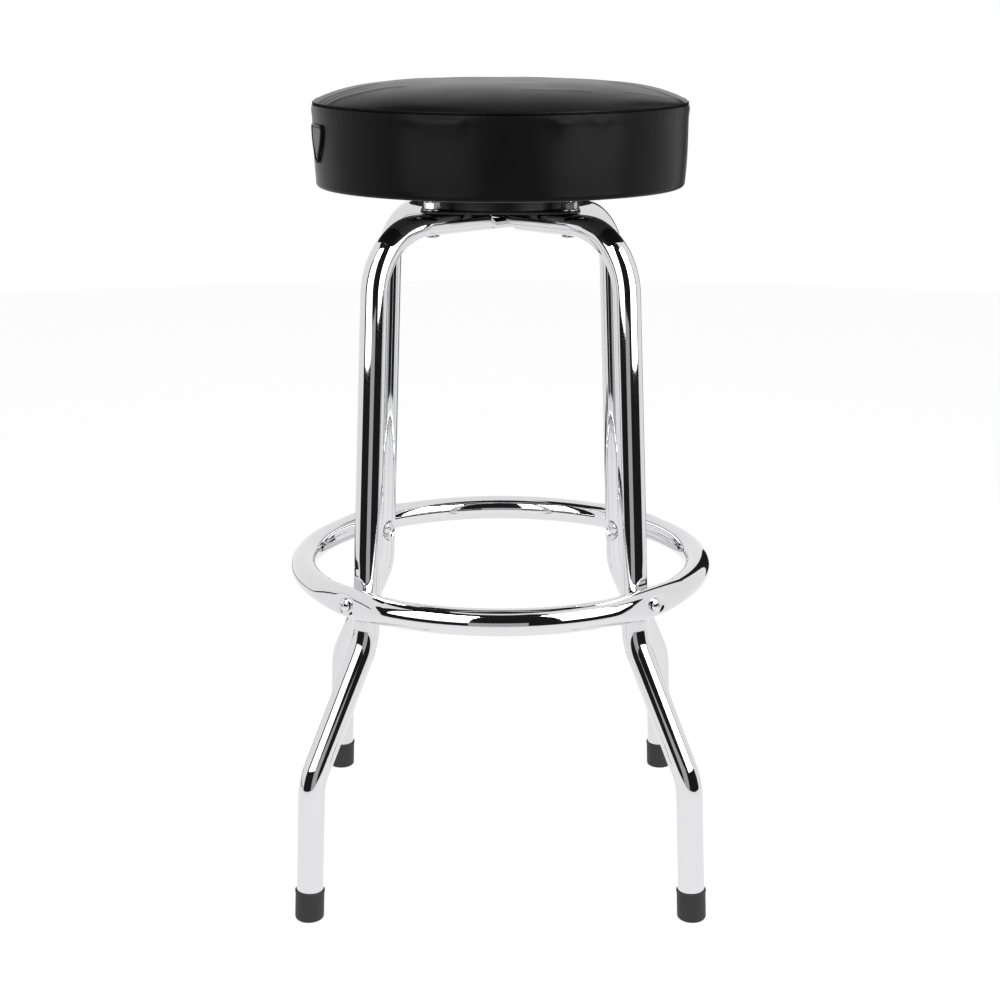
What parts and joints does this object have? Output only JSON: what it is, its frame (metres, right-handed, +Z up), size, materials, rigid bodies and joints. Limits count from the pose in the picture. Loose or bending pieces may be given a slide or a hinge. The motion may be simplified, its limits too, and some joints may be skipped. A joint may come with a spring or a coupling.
{
  "type": "bar stool",
  "caption": "Backless bar stool: a round padded seat on a ball-bearing swivel, two bent tube legs crossing under it, and a foot ring.",
  "frame": {"origin": "on the floor, under the middle of the seat", "axes": "+Z up along the swivel's axis; -Y is the front as pictured; +X is to the right seen from the front"},
  "size_m": [0.4106, 0.4106, 0.7599],
  "materials": {
    "chrome": "bright plated",
    "zinc": "zinc plated",
    "rubber": "matt moulded",
    "black_steel": "satin black paint",
    "steel": "ground",
    "plywood": "raw",
    "foam": "open foam",
    "black_vinyl": "satin black vinyl",
    "grey_vinyl": "dark grey matt"
  },
  "bodies": {
    "frame": {"leg_tube_front_left": "chrome", "leg_tube_front_right": "chrome", "foot_ring": "chrome", "ring_screw_front_left": "chrome", "ring_screw_front_right": "chrome", "ring_screw_rear_right": "chrome", "ring_screw_rear_left": "chrome", "ring_sleeve_nut_front_left": "chrome", "ring_sleeve_nut_front_right": "chrome", "ring_sleeve_nut_rear_right": "chrome", "ring_sleeve_nut_rear_left": "chrome", "foot_cap_front_left": "rubber", "foot_cap_front_right": "rubber", "foot_cap_rear_right": "rubber", "foot_cap_rear_left": "rubber", "swivel_lower_plate": "black_steel", "frame_bolt_front_left": "zinc", "frame_bolt_front_right": "zinc", "frame_bolt_rear_right": "zinc", "frame_bolt_rear_left": "zinc", "frame_washer_front_left": "zinc", "frame_washer_front_right": "zinc", "frame_washer_rear_right": "zinc", "frame_washer_rear_left": "zinc", "frame_nut_front_left": "zinc", "frame_nut_front_right": "zinc", "frame_nut_rear_right": "zinc", "frame_nut_rear_left": "zinc"},
    "bearing": {"ball_cage": "steel"},
    "seat": {"swivel_upper_tray": "black_steel", "seat_screw_front_left": "zinc", "seat_screw_front_right": "zinc", "seat_screw_rear_right": "zinc", "seat_screw_rear_left": "zinc", "seat_board": "plywood", "seat_foam": "foam", "seat_top_panel": "black_vinyl", "seat_side_band": "black_vinyl", "seam_welt": "black_vinyl", "pouch_panel": "grey_vinyl", "pouch_binding": "black_vinyl"}
  },
  "joints": [
    {"name": "seat_swivel", "type": "hinge", "parent": "frame", "child": "seat", "pos_m": [0, 0, 0.655], "axis": [0, 0, 1], "continuous": true},
    {"name": "cage_roll", "type": "hinge", "parent": "frame", "child": "bearing", "pos_m": [0, 0, 0.655], "axis": [0, 0, 1], "continuous": true}
  ],
  "couplings": [
    {"joint": "cage_roll", "follows": "seat_swivel", "ratio": 0.5}
  ]
}
